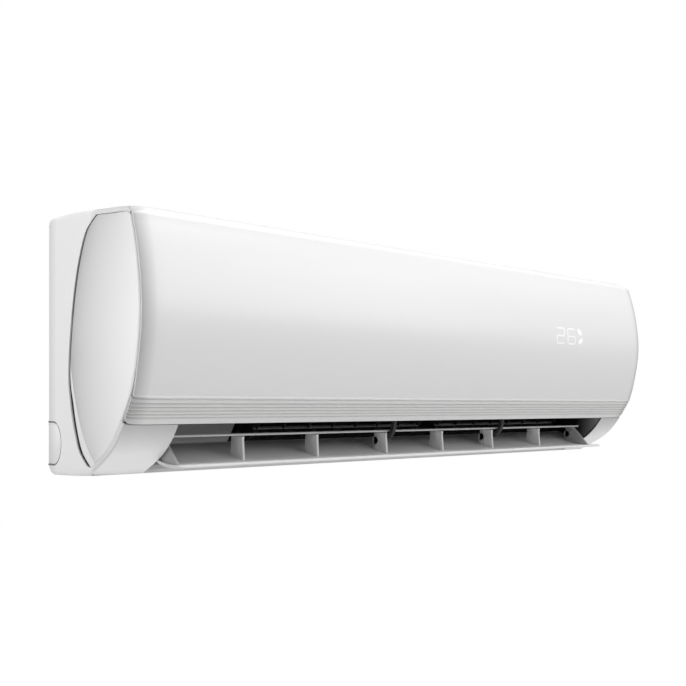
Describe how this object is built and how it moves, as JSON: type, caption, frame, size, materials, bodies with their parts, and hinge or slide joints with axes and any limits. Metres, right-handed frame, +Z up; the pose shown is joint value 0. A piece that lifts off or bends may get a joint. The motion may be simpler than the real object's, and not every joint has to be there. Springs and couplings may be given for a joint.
{
  "type": "mini split indoor unit",
  "caption": "Wall-mounted air-conditioner indoor unit with a bowed front panel, grooved strip, twin-blade louvre, guide vanes, cross-flow fan and finned coil.",
  "frame": {"origin": "middle of the wall plate's rear face, in the plane of the wall", "axes": "+X along the unit to the right as one faces it, +Y into the wall, +Z up; the front faces -Y"},
  "size_m": [0.916, 0.2153, 0.29],
  "materials": {
    "white_gloss": "glossy white panel",
    "white_satin": "satin white moulding",
    "silver_white": "satin pale silver strip",
    "dark_plastic": "satin near-black moulding",
    "grey_plastic": "satin mid-grey moulding",
    "housing_plastic": "matte pale grey moulding",
    "galvanised": "galvanised sheet",
    "motor_can": "plated steel can",
    "steel": "ground steel shaft",
    "rubber": "black rubber",
    "fins": "fine aluminium fins",
    "copper": "drawn copper",
    "brass": "turned brass",
    "filter_net": "dark fine net",
    "board_green": "coated circuit board"
  },
  "bodies": {
    "unit": {"side_cap_left": "white_satin", "side_cap_right": "white_satin", "pipe_cover_left": "white_satin", "pipe_cover_right": "white_satin", "front_casing": "white_satin", "trim_strip": "silver_white", "rear_housing": "housing_plastic", "wall_plate": "galvanised", "drain_pan": "grey_plastic", "outlet_end_wall": "grey_plastic", "louvre_arm_left": "dark_plastic", "louvre_arm_right": "dark_plastic", "louvre_motor": "motor_can", "fan_motor": "motor_can", "motor_bracket": "housing_plastic", "fan_bearing": "rubber", "bearing_holder": "housing_plastic", "evaporator_front": "fins", "evaporator_upper": "fins", "evaporator_rear": "fins", "coil_end_left": "copper", "coil_end_right": "copper", "suction_pipe": "copper", "liquid_pipe": "copper", "suction_flare_nut": "brass", "liquid_flare_nut": "brass", "pipe_clamp": "housing_plastic", "air_filter_left": "filter_net", "air_filter_right": "filter_net", "electrical_box": "housing_plastic", "electrical_box_cover": "housing_plastic", "control_board": "board_green", "terminal_block": "dark_plastic", "button_switch": "dark_plastic"},
    "panel": {"front_panel": "white_gloss", "display_board": "dark_plastic"},
    "louvre": {"louvre_outer_blade": "white_satin", "louvre_inner_blade": "white_satin"},
    "fan": {"fan_rotor": "dark_plastic", "fan_shaft": "steel", "fan_stub_shaft": "steel"},
    "button": {"manual_button": "white_satin"},
    "rod_left": {"tie_rod_left": "grey_plastic"},
    "rod_right": {"tie_rod_right": "grey_plastic"},
    "vane_01": {"vane_01": "dark_plastic"},
    "vane_02": {"vane_02": "dark_plastic"},
    "vane_03": {"vane_03": "dark_plastic"},
    "vane_04": {"vane_04": "dark_plastic"},
    "vane_05": {"vane_05": "dark_plastic"},
    "vane_06": {"vane_06": "dark_plastic"},
    "vane_07": {"vane_07": "dark_plastic"},
    "vane_08": {"vane_08": "dark_plastic"},
    "vane_09": {"vane_09": "dark_plastic"},
    "vane_10": {"vane_10": "dark_plastic"},
    "vane_11": {"vane_11": "dark_plastic"},
    "vane_12": {"vane_12": "dark_plastic"},
    "vane_13": {"vane_13": "dark_plastic"},
    "vane_14": {"vane_14": "dark_plastic"},
    "vane_15": {"vane_15": "dark_plastic"},
    "vane_16": {"vane_16": "dark_plastic"}
  },
  "joints": [
    {"name": "panel_hinge", "type": "hinge", "parent": "unit", "child": "panel", "pos_m": [0, -0.15, 0.117], "axis": [1, 0, 0], "range_deg": [-60, 0]},
    {"name": "louvre_hinge", "type": "hinge", "parent": "unit", "child": "louvre", "pos_m": [0, -0.13, -0.1275], "axis": [1, 0, 0], "range_deg": [-50, 5]},
    {"name": "fan_spin", "type": "hinge", "parent": "unit", "child": "fan", "pos_m": [0, -0.094, -0.023], "axis": [1, 0, 0], "continuous": true},
    {"name": "button_press", "type": "slide", "parent": "unit", "child": "button", "axis": [0, 1, 0], "range_m": [0, 0.0015], "stiffness_N_per_m": 400, "springref_m": -0.0005},
    {"name": "vane_01_turn", "type": "hinge", "parent": "unit", "child": "vane_01", "pos_m": [-0.2445, -0.07052, -0.11403], "axis": [0, -0.764, 0.6452], "range_deg": [-30, 30]},
    {"name": "vane_02_turn", "type": "hinge", "parent": "unit", "child": "vane_02", "pos_m": [-0.2042, -0.07052, -0.11403], "axis": [0, -0.764, 0.6452], "range_deg": [-30, 30]},
    {"name": "vane_03_turn", "type": "hinge", "parent": "unit", "child": "vane_03", "pos_m": [-0.1639, -0.07052, -0.11403], "axis": [0, -0.764, 0.6452], "range_deg": [-30, 30]},
    {"name": "vane_04_turn", "type": "hinge", "parent": "unit", "child": "vane_04", "pos_m": [-0.1236, -0.07052, -0.11403], "axis": [0, -0.764, 0.6452], "range_deg": [-30, 30]},
    {"name": "vane_05_turn", "type": "hinge", "parent": "unit", "child": "vane_05", "pos_m": [-0.0833, -0.07052, -0.11403], "axis": [0, -0.764, 0.6452], "range_deg": [-30, 30]},
    {"name": "vane_06_turn", "type": "hinge", "parent": "unit", "child": "vane_06", "pos_m": [-0.043, -0.07052, -0.11403], "axis": [0, -0.764, 0.6452], "range_deg": [-30, 30]},
    {"name": "vane_07_turn", "type": "hinge", "parent": "unit", "child": "vane_07", "pos_m": [-0.0027, -0.07052, -0.11403], "axis": [0, -0.764, 0.6452], "range_deg": [-30, 30]},
    {"name": "vane_08_turn", "type": "hinge", "parent": "unit", "child": "vane_08", "pos_m": [0.0376, -0.07052, -0.11403], "axis": [0, -0.764, 0.6452], "range_deg": [-30, 30]},
    {"name": "rod_left_level", "type": "hinge", "parent": "vane_01", "child": "rod_left", "pos_m": [-0.2445, -0.10749, -0.10899], "axis": [0, -0.764, 0.6452], "range_deg": [-30, 30]},
    {"name": "vane_09_turn", "type": "hinge", "parent": "unit", "child": "vane_09", "pos_m": [0.0779, -0.07052, -0.11403], "axis": [0, -0.764, 0.6452], "range_deg": [-30, 30]},
    {"name": "vane_10_turn", "type": "hinge", "parent": "unit", "child": "vane_10", "pos_m": [0.1182, -0.07052, -0.11403], "axis": [0, -0.764, 0.6452], "range_deg": [-30, 30]},
    {"name": "vane_11_turn", "type": "hinge", "parent": "unit", "child": "vane_11", "pos_m": [0.1585, -0.07052, -0.11403], "axis": [0, -0.764, 0.6452], "range_deg": [-30, 30]},
    {"name": "vane_12_turn", "type": "hinge", "parent": "unit", "child": "vane_12", "pos_m": [0.1988, -0.07052, -0.11403], "axis": [0, -0.764, 0.6452], "range_deg": [-30, 30]},
    {"name": "vane_13_turn", "type": "hinge", "parent": "unit", "child": "vane_13", "pos_m": [0.2391, -0.07052, -0.11403], "axis": [0, -0.764, 0.6452], "range_deg": [-30, 30]},
    {"name": "vane_14_turn", "type": "hinge", "parent": "unit", "child": "vane_14", "pos_m": [0.2794, -0.07052, -0.11403], "axis": [0, -0.764, 0.6452], "range_deg": [-30, 30]},
    {"name": "vane_15_turn", "type": "hinge", "parent": "unit", "child": "vane_15", "pos_m": [0.3197, -0.07052, -0.11403], "axis": [0, -0.764, 0.6452], "range_deg": [-30, 30]},
    {"name": "vane_16_turn", "type": "hinge", "parent": "unit", "child": "vane_16", "pos_m": [0.36, -0.07052, -0.11403], "axis": [0, -0.764, 0.6452], "range_deg": [-30, 30]},
    {"name": "rod_right_level", "type": "hinge", "parent": "vane_09", "child": "rod_right", "pos_m": [0.0779, -0.10749, -0.10899], "axis": [0, -0.764, 0.6452], "range_deg": [-30, 30]}
  ],
  "couplings": [
    {"joint": "vane_02_turn", "follows": "vane_01_turn", "ratio": 1},
    {"joint": "vane_03_turn", "follows": "vane_01_turn", "ratio": 1},
    {"joint": "vane_04_turn", "follows": "vane_01_turn", "ratio": 1},
    {"joint": "vane_05_turn", "follows": "vane_01_turn", "ratio": 1},
    {"joint": "vane_06_turn", "follows": "vane_01_turn", "ratio": 1},
    {"joint": "vane_07_turn", "follows": "vane_01_turn", "ratio": 1},
    {"joint": "vane_08_turn", "follows": "vane_01_turn", "ratio": 1},
    {"joint": "rod_left_level", "follows": "vane_01_turn", "ratio": -1},
    {"joint": "vane_10_turn", "follows": "vane_09_turn", "ratio": 1},
    {"joint": "vane_11_turn", "follows": "vane_09_turn", "ratio": 1},
    {"joint": "vane_12_turn", "follows": "vane_09_turn", "ratio": 1},
    {"joint": "vane_13_turn", "follows": "vane_09_turn", "ratio": 1},
    {"joint": "vane_14_turn", "follows": "vane_09_turn", "ratio": 1},
    {"joint": "vane_15_turn", "follows": "vane_09_turn", "ratio": 1},
    {"joint": "vane_16_turn", "follows": "vane_09_turn", "ratio": 1},
    {"joint": "rod_right_level", "follows": "vane_09_turn", "ratio": -1}
  ]
}
